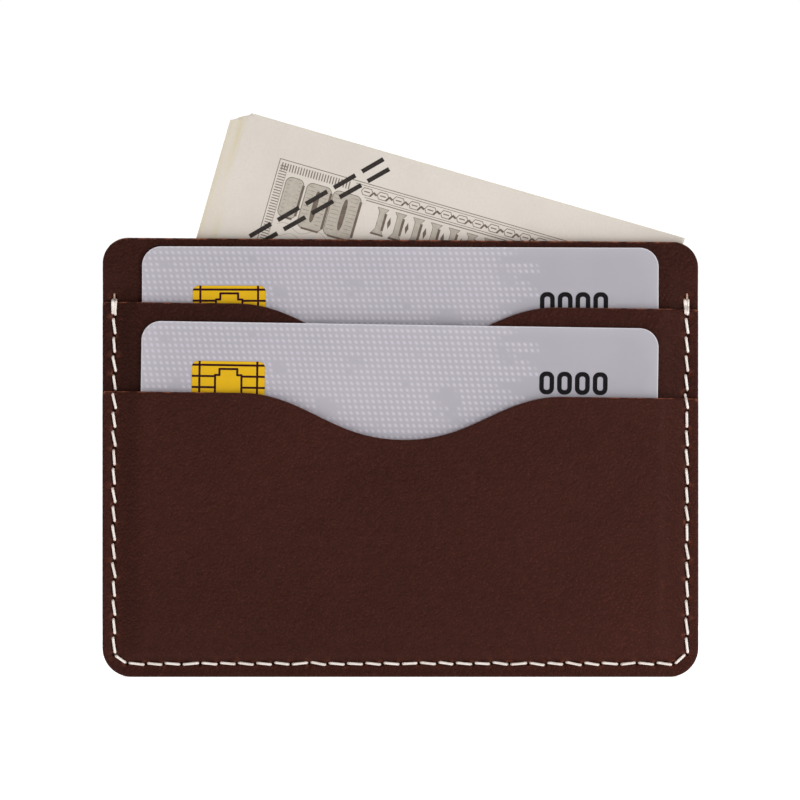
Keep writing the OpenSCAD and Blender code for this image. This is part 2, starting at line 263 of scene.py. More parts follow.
# ------------------------------------------------------------- mesh making
def make(name, verts, faces, mats, smooth=True, mat_index=None, **attrs):
    me = bpy.data.meshes.new(name)
    me.from_pydata([tuple(v) for v in np.asarray(verts) * MM], [], faces)
    me.validate()
    for m in mats if isinstance(mats, (list, tuple)) else [mats]:
        me.materials.append(m)
    if smooth:
        me.polygons.foreach_set("use_smooth", [True] * len(me.polygons))
    if mat_index is not None:
        me.polygons.foreach_set("material_index", mat_index)
    for key, value in attrs.items():
        value = np.asarray(value, np.float32)
        if value.ndim == 1:
            me.attributes.new(key, "FLOAT", "POINT").data.foreach_set("value", value)
        else:
            me.attributes.new(key, "FLOAT_VECTOR", "POINT").data.foreach_set(
                "vector", value.ravel()
            )
    me.update()
    o = bpy.data.objects.new(name, me)
    bpy.context.scene.collection.objects.link(o)
    return o


def filled(loop, step, rings=(), extra=None, holes=()):
    """Triangles that fill a loop: points every step mm, rings at given insets, and extra points. The loop's own points come first."""
    tangent = np.roll(loop, -1, axis=0) - np.roll(loop, 1, axis=0)
    tangent /= np.linalg.norm(tangent, axis=1)[:, None]
    inward = np.stack([-tangent[:, 1], tangent[:, 0]], 1)
    groups = []
    for s in rings:
        p = loop + inward * s
        keep = (away(p, loop) > s * 0.985) & inside(p, loop)
        groups.append(p[keep])
    if extra is not None and len(extra):
        keep = inside(extra, loop)
        e = extra[keep]
        groups.append(e[away(e, loop) > (max(rings) if rings else 0.05) + 0.05])
    x0, z0 = loop.min(0)
    x1, z1 = loop.max(0)
    rows = []
    for k, z in enumerate(np.arange(z0, z1, step * 0.87)):
        xs = np.arange(x0 + (step / 2 if k % 2 else 0), x1, step)
        rows.append(np.stack([xs, np.full(len(xs), z)], 1))
    g = np.concatenate(rows)
    g = g[inside(g, loop)]
    g = g[away(g, loop) > (max(rings) if rings else 0) + step * 0.45]
    if extra is not None and len(extra):
        cell = {}
        for e in extra:
            cell.setdefault((int(e[0] // step), int(e[1] // step)), []).append(e)
        keep = []
        for p in g:
            i, j = int(p[0] // step), int(p[1] // step)
            near = [
                e
                for di in (-1, 0, 1)
                for dj in (-1, 0, 1)
                for e in cell.get((i + di, j + dj), ())
            ]
            keep.append(
                not near or ((np.array(near) - p) ** 2).sum(1).min() > (step * 0.45) ** 2
            )
        g = g[np.array(keep)]
    groups.append(g)
    inner = np.concatenate(groups)
    pts = np.concatenate([loop, inner, *holes]) if holes else np.concatenate([loop, inner])
    n = len(loop)
    edges = [(i, (i + 1) % n) for i in range(n)]
    at = n + len(inner)
    for h in holes:
        edges += [(at + i, at + (i + 1) % len(h)) for i in range(len(h))]
        at += len(h)
    verts, _, faces, orig, _, _ = delaunay_2d_cdt(
        [Vector(p) for p in pts], edges, [], 1, 1e-7, True
    )
    verts = np.array([tuple(v) for v in verts])
    tri = np.array([f for f in faces if len(f) == 3])
    a, b, c = verts[tri[:, 0]], verts[tri[:, 1]], verts[tri[:, 2]]
    area = (b[:, 0] - a[:, 0]) * (c[:, 1] - a[:, 1]) - (b[:, 1] - a[:, 1]) * (
        c[:, 0] - a[:, 0]
    )
    tri[area < 0] = tri[area < 0][:, ::-1]
    tri = tri[np.abs(area) > 1e-9]
    tri = tri[inside(verts[tri].mean(1), loop)]
    for h in holes:
        mid = verts[tri].mean(1)
        tri = tri[~inside(mid, h)]
    where = {}
    for new, olds in enumerate(orig):
        for old in olds:
            where[old] = new
    loops = [[where[i] for i in range(n)]]
    at = n + len(inner)
    for h in holes:
        loops.append([where[at + i] for i in range(len(h))])
        at += len(h)
    return verts, tri, loops


def hole_points(rows, count=10):
    out = []
    for a in rows:
        out.append(a[None])
        for r in (0.11, 0.2, 0.3, 0.42, 0.56):
            t = np.arange(count) * 2 * np.pi / count + r * 7
            out.append(a + r * np.stack([np.cos(t), np.sin(t)], 1))
    for a, b in zip(rows[:-1], rows[1:]):
        d = b - a
        length = np.linalg.norm(d)
        if length < 1.2:
            continue
        d /= length
        nrm = np.array([-d[1], d[0]])
        for t in np.arange(0.72, length - 0.7, 0.32):
            for w in (-0.62, -0.4, -0.26, -0.13, 0, 0.13, 0.26, 0.4, 0.62):
                out.append((a + d * t + nrm * w)[None])
    return np.concatenate(out)


def drop(s, r):
    s = np.clip(s, 0, r)
    return r - np.sqrt(np.maximum(r * r - (r - s) ** 2, 0))


def leather_sheet(name, loop, out_fn, in_fn, mat, step=0.7, back_step=2.5, edge_r=0.34,
                  extra_out=None, extra_in=None, mouth_fn=None, back_r=0.2,
                  fine_back=False, holes_at=HOLES, painted_shade_fn=None, all_along=False):
    rings = (0.05, 0.12, 0.2, 0.3, 0.45)
    fv, ft, (fl,) = filled(loop, step, rings, extra_out)
    bv, bt, (bl,) = filled(
        loop, step if fine_back else back_step, rings if fine_back else (0.15,), extra_in
    )
    fs, bs = away(fv, loop), away(bv, loop)
    fd = out_fn(fv[:, 0], fv[:, 1]) - drop(fs, edge_r)
    bd = in_fn(bv[:, 0], bv[:, 1]) + drop(bs, back_r)
    wall = 5
    n = len(loop)
    tangent = np.roll(loop, -1, axis=0) - np.roll(loop, 1, axis=0)
    tangent /= np.linalg.norm(tangent, axis=1)[:, None]
    outward = np.stack([tangent[:, 1], -tangent[:, 0]], 1)
    fdl, bdl = fd[fl], bd[bl]
    ring_v, ring_raw = [], []
    for k in range(1, wall):
        t = k / wall
        fuzz = 0.02 + 0.018 * np.sin(np.arange(n) * 2.1 + k * 1.9) * np.sin(
            np.arange(n) * 0.63 + k
        )
        p = loop + outward * (fuzz * np.sin(np.pi * t))[:, None]
        ring_v.append(
            np.stack([p[:, 0], BACK_Y - (fdl * (1 - t) + bdl * t), p[:, 1]], 1)
        )
        ring_raw.append(np.ones(n))
    F = np.stack([fv[:, 0], BACK_Y - fd, fv[:, 1]], 1)
    B = np.stack([bv[:, 0], BACK_Y - bd, bv[:, 1]], 1)
    verts = np.concatenate([F, B, *ring_v])
    faces = [tuple(map(int, t)) for t in ft]
    nb = len(F)
    faces += [tuple(int(nb + i) for i in t[::-1]) for t in bt]
    ids = [np.array(fl)]
    for k in range(wall - 1):
        ids.append(nb + len(B) + k * n + np.arange(n))
    ids.append(nb + np.array(bl))
    for a, b in zip(ids[:-1], ids[1:]):
        for i in range(n):
            j = (i + 1) % n
            faces.append((int(a[i]), int(b[i]), int(b[j]), int(a[j])))

    # where the cut edge and the needle holes show raw fibre
    def bare(x):
        """The dye has rubbed off in patches, mostly near the two ends."""
        wave = 0.5 + 0.5 * np.sin(x * 0.55 + 0.8) * np.sin(x * 1.7 + 2.0 * np.sin(x * 0.31))
        if all_along:
            return 0.9 * ease(wave * 1.6 - 0.2)
        return (0.12 + 0.88 * ease((np.abs(x) - 24) / 16)) * ease(wave * 1.5 - 0.25)

    def mouthness(x, z):
        if mouth_fn is None:
            return np.zeros(len(x))
        return ease(1 - np.abs(z - mouth_fn(x)) / 1.2)

    def rawness(v, s, face_side):
        m = mouthness(v[:, 0], v[:, 1]) * bare(v[:, 0])
        edge = ease(1 - s / (0.3 if all_along else 0.2)) * (0.05 + 0.85 * m)
        _, hole = segments_away(v[:, 0], v[:, 1], holes_at)
        fray = 0.5 * ease(1 - np.abs(hole - 0.42) / 0.24)
        blotch = 0.5 + 0.5 * np.sin(v[:, 0] * 2.9 + v[:, 1] * 2.3) * np.sin(
            v[:, 0] * 0.83 - v[:, 1] * 3.7 + 1.1
        )
        return np.maximum(edge, fray * blotch * face_side)

    raw = np.concatenate([
        rawness(fv, fs, 1.0),
        rawness(bv, bs, 0.4),
        *[0.2 + 0.8 * mouthness(loop[:, 0], loop[:, 1]) * bare(loop[:, 0]) for _ in range(wall - 1)],
    ])
    # tone holds painted shade: each leather is made darker towards the left and lighter towards the right, and the
    # front panel darker overall
    tone = np.ones(len(verts)) if painted_shade_fn is None else painted_shade_fn(verts[:, 0], verts[:, 2])
    o = make(name, verts, faces, mat, raw=raw, tone=tone)
    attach(o, "wallet")
    return o


# ---------------------------------------------------------------- materials
def nodes_of(name):
    m = bpy.data.materials.new(name)
    m.use_nodes = True
    t = m.node_tree
    b = t.nodes["Principled BSDF"]
    return m, t, b


def n_(t, kind, **kw):
    n = t.nodes.new(kind)
    for k, v in kw.items():
        if k in n.inputs:
            n.inputs[k].default_value = v
        else:
            setattr(n, k, v)
    return n


def link(t, a, b):
    t.links.new(a, b)


def srgb(r, g, b):
    def f(c):
        c /= 255.0
        return c / 12.92 if c <= 0.04045 else ((c + 0.055) / 1.055) ** 2.4

    return (f(r), f(g), f(b), 1.0)


def mix_rgb(t, fac, a, b, mode="MIX"):
    n = t.nodes.new("ShaderNodeMix")
    n.data_type = "RGBA"
    n.blend_type = mode
    for sock, val in (("Factor", fac), ("A", a), ("B", b)):
        s = [i for i in n.inputs if i.name == sock and i.enabled][0]
        if isinstance(val, bpy.types.NodeSocket):
            t.links.new(val, s)
        else:
            s.default_value = val
    return [o for o in n.outputs if o.enabled][0]


def maths(t, op, a, b=None, c=None, clamp=False):
    n = t.nodes.new("ShaderNodeMath")
    n.operation = op
    n.use_clamp = clamp
    for i, val in enumerate((a, b, c)):
        if val is None:
            continue
        if isinstance(val, bpy.types.NodeSocket):
            t.links.new(val, n.inputs[i])
        else:
            n.inputs[i].default_value = val
    return n.outputs[0]


def remap(t, v, a, b, c=0.0, d=1.0):
    n = t.nodes.new("ShaderNodeMapRange")
    t.links.new(v, n.inputs["Value"])
    for key, val in (("From Min", a), ("From Max", b), ("To Min", c), ("To Max", d)):
        n.inputs[key].default_value = val
    n.interpolation_type = "SMOOTHSTEP"
    return n.outputs[0]


def place(t, stretch=(1, 1, 1)):
    co = t.nodes.new("ShaderNodeTexCoord")
    mp = t.nodes.new("ShaderNodeMapping")
    mp.inputs["Scale"].default_value = stretch
    t.links.new(co.outputs["Object"], mp.inputs["Vector"])
    return mp.outputs["Vector"]


def noise(t, vec, scale, detail=3.0, rough=0.55):
    n = t.nodes.new("ShaderNodeTexNoise")
    n.inputs["Scale"].default_value = scale
    n.inputs["Detail"].default_value = detail
    n.inputs["Roughness"].default_value = rough
    t.links.new(vec, n.inputs["Vector"])
    return n.outputs["Fac"]


def cells(t, vec, scale, feature="SMOOTH_F1"):
    n = t.nodes.new("ShaderNodeTexVoronoi")
    n.feature = feature
    n.inputs["Scale"].default_value = scale
    if "Smoothness" in n.inputs and feature == "SMOOTH_F1":
        n.inputs["Smoothness"].default_value = 0.6
    t.links.new(vec, n.inputs["Vector"])
    return n.outputs["Distance"]


def bump(t, height, distance, strength=1.0, normal=None):
    n = t.nodes.new("ShaderNodeBump")
    n.inputs["Distance"].default_value = distance
    n.inputs["Strength"].default_value = strength
    t.links.new(height, n.inputs["Height"])
    if normal is not None:
        t.links.new(normal, n.inputs["Normal"])
    return n.outputs["Normal"]


def attribute(t, name, vector=False):
    n = t.nodes.new("ShaderNodeAttribute")
    n.attribute_name = name
    return n.outputs["Vector"] if vector else n.outputs["Fac"]


def leather_material():
    m, t, b = nodes_of("brown_leather")
    v = place(t)
    grain = cells(t, v, 2300.0)
    grain2 = cells(t, v, 1150.0)
    fine = noise(t, v, 3600.0, 3.0)
    cloud = noise(t, v, 42.0, 4.0, 0.6)
    mottle = noise(t, v, 620.0, 3.0, 0.6)
    hair = noise(t, place(t, (1.0, 1.0, 9.0)), 260.0, 2.0)
    base = mix_rgb(t, remap(t, cloud, 0.3, 0.7), LEATHER_DARK, LEATHER_LIGHT)
    base = mix_rgb(t, remap(t, mottle, 0.35, 0.72, 0.0, 0.30), base, LEATHER_DEEP)
    base = mix_rgb(t, remap(t, hair, 0.62, 0.80, 0.0, 0.22), base, LEATHER_WARM)
    pore = remap(t, fine, 0.40, 0.66)
    base = mix_rgb(t, maths(t, "MULTIPLY", pore, 0.38), base, LEATHER_WARM)
    base = mix_rgb(t, maths(t, "MULTIPLY", remap(t, grain, 0.10, 0.40), 0.55), base, LEATHER_DEEP)
    # tone scales the base colour: painted shade, darker to the left and lighter to the right
    scaled = t.nodes.new("ShaderNodeVectorMath")
    scaled.operation = "SCALE"
    link(t, base, scaled.inputs[0])
    link(t, attribute(t, "tone"), scaled.inputs["Scale"])
    base = scaled.outputs[0]
    raw = attribute(t, "raw")
    fuzz = noise(t, v, 1900.0, 3.0, 0.7)
    rawmask = maths(t, "MULTIPLY", raw, remap(t, fuzz, 0.30, 0.62), clamp=True)
    base = mix_rgb(t, rawmask, base, LEATHER_RAW)
    link(t, base, b.inputs["Base Color"])
    rough = remap(t, mottle, 0.3, 0.8, 0.50, 0.62)
    link(t, rough, b.inputs["Roughness"])
    b.inputs["Specular IOR Level"].default_value = 0.06
    b.inputs["Coat Weight"].default_value = 0.0
    n1 = bump(t, grain, 0.00014, 1.0)
    n2 = bump(t, grain2, 0.00010, 0.6, n1)
    n3 = bump(t, fine, 0.00003, 0.8, n2)
    n4 = bump(t, fuzz, 0.0001, 0.0, n3)
    link(t, n4, b.inputs["Normal"])
    return m


def thread_material():
    m, t, b = nodes_of("linen_thread")
    v = place(t)
    fibre = noise(t, v, 6500.0, 3.0, 0.6)
    dirt = noise(t, v, 420.0, 2.0)
    groove = attribute(t, "groove")
    base = mix_rgb(t, remap(t, dirt, 0.35, 0.7), srgb(250, 241, 234), srgb(238, 226, 217))
    # painted shade: the thread is darker down the grooves between its plies
    base = mix_rgb(t, maths(t, "MULTIPLY", groove, 0.42), base, srgb(172, 150, 136))
    stain = attribute(t, "stain")
    base = mix_rgb(t, stain, base, srgb(176, 132, 104))
    link(t, base, b.inputs["Base Color"])
    b.inputs["Roughness"].default_value = 0.72
    b.inputs["Specular IOR Level"].default_value = 0.3
    b.inputs["Sheen Weight"].default_value = 0.25
    link(t, bump(t, fibre, 0.00002, 0.7), b.inputs["Normal"])
    return m


def card_material(name):
    """Pale grey laminate with a patchy staggered lattice of lighter raised dots."""
    m, t, b = nodes_of(name)
    local = attribute(t, "card_xy", True)
    sep = t.nodes.new("ShaderNodeSeparateXYZ")
    link(t, local, sep.inputs[0])
    x, z = sep.outputs[0], sep.outputs[1]
    p, q = 1.0, 0.98  # the dots' pitch along and across, in mm
    row = maths(t, "DIVIDE", z, q)
    row_i = maths(t, "FLOOR", row)
    shifted = maths(t, "ADD", maths(t, "DIVIDE", x, p), maths(t, "MULTIPLY", row_i, 0.2))
    fx = maths(t, "SUBTRACT", maths(t, "FRACT", shifted), 0.5)
    fz = maths(t, "SUBTRACT", maths(t, "FRACT", row), 0.5)
    # each dot is drawn out a little along one diagonal
    along = maths(t, "MULTIPLY", maths(t, "SUBTRACT", fx, fz), 0.56)
    across = maths(t, "MULTIPLY", maths(t, "ADD", fx, fz), 0.84)
    r2 = maths(t, "ADD", maths(t, "MULTIPLY", along, along), maths(t, "MULTIPLY", across, across))
    dot = maths(t, "SUBTRACT", 1.0, remap(t, maths(t, "SQRT", r2), 0.12, 0.40))
    # whole dots come and go in patches: the mask is read at each dot's middle
    cx = maths(t, "FLOOR", shifted)
    comb = t.nodes.new("ShaderNodeCombineXYZ")
    link(t, cx, comb.inputs[0])
    link(t, row_i, comb.inputs[1])
    patch = noise(t, comb.outputs[0], 0.11, 3.0, 0.6)
    patch = remap(t, patch, 0.375, 0.43)
    # the lattice ends in ragged steps towards the right, each row stopping at its own place
    ragged = t.nodes.new("ShaderNodeCombineXYZ")
    link(t, row_i, ragged.inputs[1])
    reach_x = maths(t, "MULTIPLY", noise(t, ragged.outputs[0], 0.33, 2.0), 30.0)
    reach_x = maths(t, "ADD", maths(t, "SUBTRACT", x, reach_x), 15.0)
    patch = maths(t, "MULTIPLY", patch, remap(t, reach_x, 20.0, 22.0, 1.0, 0.0))
    dots = maths(t, "MULTIPLY", dot, patch)
    v = place(t)
    tone = noise(t, v, 55.0, 3.0)
    speck = noise(t, v, 3800.0, 2.0)
    base = mix_rgb(t, remap(t, tone, 0.3, 0.7), CARD_A, CARD_B)
    base = mix_rgb(t, maths(t, "MULTIPLY", patch, 0.28), base, CARD_TINT)
    base = mix_rgb(t, remap(t, x, 0.0, 42.0, 0.0, 0.5), base, CARD_SHADE)
    base = mix_rgb(t, maths(t, "MULTIPLY", dots, 0.62), base, CARD_DOT)
    base = mix_rgb(t, remap(t, speck, 0.55, 0.75, 0.0, 0.10), base, CARD_B)
    # painted highlight: a pale line round the card's edges
    rim = attribute(t, "rim")
    base = mix_rgb(t, maths(t, "MULTIPLY", rim, 0.85), base, CARD_RIM_HIGHLIGHT)
    link(t, base, b.inputs["Base Color"])
    b.inputs["Roughness"].default_value = 0.72
    b.inputs["Specular IOR Level"].default_value = 0.35
    n1 = bump(t, dots, 0.00002, 0.5)
    link(t, bump(t, speck, 0.000006, 0.5, n1), b.inputs["Normal"])
    return m


def simple(name, colour, rough, metal=0.0, spec=0.5, var=0.12, scale=900.0,
           bump_d=0.000008, second=None):
    m, t, b = nodes_of(name)
    v = place(t)
    f = noise(t, v, scale, 3.0)
    other = second or tuple(c * (1 - var) for c in colour[:3]) + (1.0,)
    link(t, mix_rgb(t, remap(t, f, 0.35, 0.65), colour, other), b.inputs["Base Color"])
    link(t, remap(t, f, 0.3, 0.7, rough * 0.9, min(1.0, rough * 1.1)), b.inputs["Roughness"])
    b.inputs["Metallic"].default_value = metal
    b.inputs["Specular IOR Level"].default_value = spec
    link(t, bump(t, f, bump_d, 0.6), b.inputs["Normal"])
    return m


def paper_material():
    m, t, b = nodes_of("note_paper")
    v = place(t)
    pulp = noise(t, v, 2600.0, 4.0, 0.65)
    stain = noise(t, v, 60.0, 4.0, 0.6)
    fibre = noise(t, place(t, (1, 1, 6)), 1700.0, 2.0)
    base = mix_rgb(t, remap(t, stain, 0.3, 0.72), PAPER_A, PAPER_B)
    base = mix_rgb(t, remap(t, pulp, 0.4, 0.75, 0.0, 0.35), base, PAPER_C)
    worn = attribute(t, "worn")
    # wear at the free and top edges, and painted shade along the crease and past it
    base = mix_rgb(t, maths(t, "MULTIPLY", worn, 0.8), base, PAPER_WEAR_AND_SHADE)
    link(t, base, b.inputs["Base Color"])
    b.inputs["Roughness"].default_value = 0.9
    b.inputs["Specular IOR Level"].default_value = 0.15
    n1 = bump(t, pulp, 0.00002, 0.6)
    link(t, bump(t, fibre, 0.000015, 0.4, n1), b.inputs["Normal"])
    return m


LEATHER_DARK = srgb(63, 30, 23)
LEATHER_LIGHT = srgb(72, 34, 26)
LEATHER_DEEP = srgb(40, 18, 14)
LEATHER_WARM = srgb(92, 49, 37)
LEATHER_RAW = srgb(178, 106, 78)
CARD_A, CARD_B = srgb(175, 170, 178), srgb(168, 164, 172)
# the rim colour is a painted highlight round the card's edges
CARD_TINT, CARD_DOT, CARD_RIM_HIGHLIGHT = srgb(178, 173, 182), srgb(203, 198, 207), srgb(222, 220, 226)
CARD_SHADE = srgb(162, 159, 166)
PAPER_A, PAPER_B, PAPER_C = srgb(218, 210, 201), srgb(211, 203, 193), srgb(202, 194, 184)
# this colour stands for wear at the edges and for painted shade at the crease
PAPER_WEAR_AND_SHADE = srgb(206, 194, 160)

leather = leather_material()
thread = thread_material()
print_grey = simple("card_print", srgb(22, 20, 22), 0.6, spec=0.08, var=0.1)
ink = simple("engraving_ink", srgb(120, 108, 98), 0.85, spec=0.1, second=srgb(134, 124, 114), scale=1500.0)
ink_dark = simple("engraving_shadow", srgb(104, 92, 84), 0.85, spec=0.1, second=srgb(118, 104, 94), scale=1500.0)
ink_pale = simple("engraving_tint", srgb(176, 168, 156), 0.85, spec=0.1, second=srgb(186, 177, 165), scale=1500.0)
dash_ink = simple("dash_ink", srgb(46, 41, 39), 0.85, spec=0.1, second=srgb(60, 54, 50), scale=2500.0)
gold = simple("gold_contacts", srgb(230, 181, 16), 0.42, metal=0.25, spec=0.25, var=0.06, scale=300.0)
tape = simple("chip_tape", srgb(52, 16, 26), 0.7, spec=0.05)
resin = simple("chip_resin", srgb(22, 22, 24), 0.3)
silicon = simple("chip_silicon", srgb(96, 100, 112), 0.15, metal=0.6)
stripe = simple("stripe_tape", srgb(24, 21, 22), 0.32, var=0.2, scale=200.0)
panel_white = simple("writing_panel", srgb(226, 226, 222), 0.75, spec=0.2, scale=1200.0)
paper = paper_material()

# ------------------------------------------------------------------ leather
hp = hole_points(HOLES)
sp = hole_points(STOPS)
loop = panel_loop()
back = leather_sheet(
    "back_leather", loop,
    lambda x, z: np.full(len(x), PANEL_T),
    lambda x, z: 0.40 * np.exp(-((segments_away(x, z, HOLES)[0] / 0.30) ** 4))
    + 0.3 * np.exp(-((segments_away(x, z, HOLES)[1] / 0.26) ** 2)),
    leather, step=2.4, edge_r=0.2, back_r=0.34, extra_in=hp, fine_back=False, back_step=1.2,
)
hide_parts("back_panel")
front = leather_sheet(
    "front_leather", loop, stitched(front_out), front_in, leather,
    step=0.8, extra_out=hp, mouth_fn=lambda x: TOP - TOP_DROP * (x + HW) / (2 * HW),
    # painted shade: the front panel darker overall, a little darker to the left
    painted_shade_fn=lambda x, z: 0.84 + 0.02 * x / HW, all_along=True,
)
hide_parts("front_panel")
upper = leather_sheet(
    "upper_pocket_leather", pocket_loop(upper_edge), stitched(upper_out), upper_in, leather,
    step=0.8, extra_out=hp, mouth_fn=upper_edge,
    # painted shade: darker to the left, lighter to the right
    painted_shade_fn=lambda x, z: 0.82 + 0.10 * x / HW,
)
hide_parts("upper_pocket")
lower = leather_sheet(
    "lower_pocket_leather", pocket_loop(lower_edge), stitched(lower_out), lower_in, leather,
    step=0.7, extra_out=hp, mouth_fn=lower_edge,
    # painted shade: lighter towards the right end
    painted_shade_fn=lambda x, z: 1.0 + 0.10 * ease((x - 8) / 34),
)
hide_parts("lower_pocket")


# ------------------------------------------------------------------ threads
def rope(centre, radius, pitch_mm=1.25, phase=0.0, around=16, stain=0.0):
    """A three-ply twisted thread along a centreline."""
    c = np.asarray(centre, float)
    t = np.gradient(c, axis=0)
    t /= np.linalg.norm(t, axis=1)[:, None]
    length = np.r_[0, np.cumsum(np.linalg.norm(np.diff(c, axis=0), axis=1))]
    ref = np.array([0.31, -0.2, 0.93])
    u = np.cross(t, ref)
    u /= np.linalg.norm(u, axis=1)[:, None]
    for i in range(1, len(u)):  # carried along without twist
        u[i] = u[i - 1] - t[i] * (u[i - 1] @ t[i])
        u[i] /= np.linalg.norm(u[i])
    w = np.cross(t, u)
    a = np.arange(around) * 2 * np.pi / around
    verts, groove = [], []
    for i in range(len(c)):
        ph = phase + 2 * np.pi * length[i] / pitch_mm
        lobe = np.abs(np.cos(1.5 * (a - ph)))
        r = radius * (0.80 + 0.24 * lobe**0.8)
        verts.append(c[i] + np.cos(a)[:, None] * r[:, None] * u[i] + np.sin(a)[:, None] * r[:, None] * w[i])
        # how much painted shade each point takes, most between the plies
        groove.append((1 - lobe) ** 2)
    verts = np.concatenate(verts)
    groove = np.concatenate(groove)
    faces = []
    for i in range(len(c) - 1):
        for k in range(around):
            k2 = (k + 1) % around
            faces.append((i * around + k, i * around + k2, (i + 1) * around + k2, (i + 1) * around + k))
    n = len(verts)
    verts = np.concatenate([verts, c[:1], c[-1:]])
    groove = np.r_[groove, 0, 0]
    last = (len(c) - 1) * around
    for k in range(around):
        k2 = (k + 1) % around
        faces.append((n, k2, k))
        faces.append((n + 1, last + k, last + k2))
    return verts, faces, groove, np.full(len(verts), stain)


def smooth_line(keys, count):
    """Catmull-Rom through the key points."""
    k = np.asarray(keys, float)
    k = np.concatenate([[2 * k[0] - k[1]], k, [2 * k[-1] - k[-2]]])
    out = []
    seg = len(k) - 3
    for i in range(seg):
        p0, p1, p2, p3 = k[i : i + 4]
        m = count // seg
        for t in np.linspace(0, 1, m, endpoint=(i == seg - 1)):
            out.append(
                0.5 * (2 * p1 + (p2 - p0) * t + (2 * p0 - 5 * p1 + 4 * p2 - p3) * t**2
                       + (3 * p1 - p0 - 3 * p2 + p3) * t**3)
            )
    return np.array(out)


def gather(name, ropes, mat, replaces, body="wallet"):
    vs, fs, gs, ss, at = [], [], [], [], 0
    for v, f, g, s in ropes:
        vs.append(v)
        fs += [tuple(i + at for i in q) for q in f]
        gs.append(g)
        ss.append(s)
        at += len(v)
    o = make(name, np.concatenate(vs), fs, mat, groove=np.concatenate(gs), stain=np.concatenate(ss))
    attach(o, body)
    if replaces:
        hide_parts(replaces)
    return o


def outer_face(x, z):
    """Depth of whichever leather is on show at a point of the seam."""
    x, z = np.atleast_1d(x).astype(float), np.atleast_1d(z).astype(float)
    d = front_out(x, z)
    u = ease((upper_edge(x) - z + 0.25) / 0.3)
    d = d * (1 - u) + upper_out(x, z) * u
    w = ease((lower_edge(x) - z + 0.25) / 0.3)
    return d * (1 - w) + lower_out(x, z) * w


def stitch_line(a, b, face, slant, lift=0.07, sign=1.0, depth=0.75):
    """Centreline of one stitch from hole a to hole b over a face, both ends down their holes."""
    d = (b - a) / np.linalg.norm(b - a)
    side_v = np.array([-d[1], d[0]])
    length = np.linalg.norm(b - a)
    keys = []
    for s, h in ((0.40, -depth), (0.43, -0.34), (0.55, 0.0), (0.82, 1.0), (length / 2, 1.2),
                 (length - 0.82, 1.0), (length - 0.55, 0.0), (length - 0.43, -0.34), (length - 0.40, -depth)):
        k = (s / length - 0.5) * 2
        p = a + d * s + side_v * slant * k
        hh = lift * h if h >= 0 else h
        base = face(np.array([p[0]]), np.array([p[1]]))[0]
        keys.append((p[0], BACK_Y - (base + sign * hh), p[1]))
    return smooth_line(keys, 40)


needle, bobbin = [], []
for i in range(len(HOLES) - 1):
    a, b = HOLES[i], HOLES[i + 1]
    left, right = i < SIDE_N, i > SIDE_N + FOOT_N
    jit = rng.normal(0, 0.03)
    if left:
        sl = 0.23 + 2.4 * jit
    elif right:
        sl = 0.21 + 2.4 * jit
    elif SIDE_N < i < SIDE_N + FOOT_N + 1:
        sl = (0.15 if i % 6 == 5 else -0.18) + 2.0 * jit
    else:
        sl = jit
    if left:
        a, b = a + [-0.02, 0], b + [0.02, 0]
    line = stitch_line(a, b, outer_face, sl)
    needle.append(rope(line, 0.228, phase=rng.uniform(0, 6)))
    inner = stitch_line(
        a, b, lambda x, z: np.full(len(x), 0.20), sl * -0.6, lift=0.01, sign=-1.0, depth=0.6
    )
    bobbin.append(rope(inner, 0.185, phase=rng.uniform(0, 6)))
# the seam's two ends are sewn back over themselves
for s in (-1, 1):
    a = np.array([s * SEAM_X, SEAM_TOP + 0.05])
    b = np.array([s * SEAM_X, SEAM_TOP - pitch])
    for off, lift in ((-0.34, 0.03), (0.33, 0.05)):
        line = stitch_line(a + [off, 0.05], b + [off * 0.55, 0.1], outer_face, 0.03 * s, lift=0.12 + lift)
        needle.append(rope(line, 0.2, phase=rng.uniform(0, 6)))
    tip = np.array([s * SEAM_X + 0.02, SEAM_TOP + 0.85])
    line = stitch_line(tip + [0.10 * (s > 0), 0.25], tip + [0, -1.45], outer_face, 0.06, lift=0.05)
    needle.append(rope(line, 0.17, phase=1.0, stain=0.8))
gather("front_stitches", needle, thread, "seam_needle_thread")
gather("back_stitches", bobbin, thread, "seam_bobbin_thread")
stop_a, stop_b = [], []
for i in range(STOP_N):
    a, b = STOPS[i], STOPS[i + 1]
    stop_a.append(rope(stitch_line(a, b, upper_out, 0.08, lift=0.03)[::2], 0.185, around=10))
    stop_b.append(
        rope(stitch_line(a, b, lambda x, z: np.full(len(x), C1 + 0.22), -0.05, lift=0.01, sign=-1.0, depth=0.5)[::2],
             0.185, around=10)
    )
gather("stop_stitches_front", stop_a, thread, "stop_needle_thread")
gather("stop_stitches_back", stop_b, thread, "stop_bobbin_thread")


# -------------------------------------------------------------------- cards
CARD_W, CARD_H, CARD_T, CARD_R = 85.6, 53.98, 0.76, 3.18
CHIP = (-28.34, CARD_H / 2 - 6.5 - 5.25, 12.1, 10.5)


def round_rect(w, h, r, n=8):
    return np.concatenate([
        arc(-w / 2 + r, -h / 2 + r, r, 180, 270, n),
        arc(w / 2 - r, -h / 2 + r, r, 270, 360, n),
        arc(w / 2 - r, h / 2 - r, r, 0, 90, n),
        arc(-w / 2 + r, h / 2 - r, r, 90, 180, n),
    ])


def divided(p, step):
    out = []
    for a, b in zip(p, np.roll(p, -1, axis=0)):
        n = max(1, int(round(np.linalg.norm(b - a) / step)))
        for k in range(n):
            out.append(a + (b - a) * k / n)
    return np.array(out)


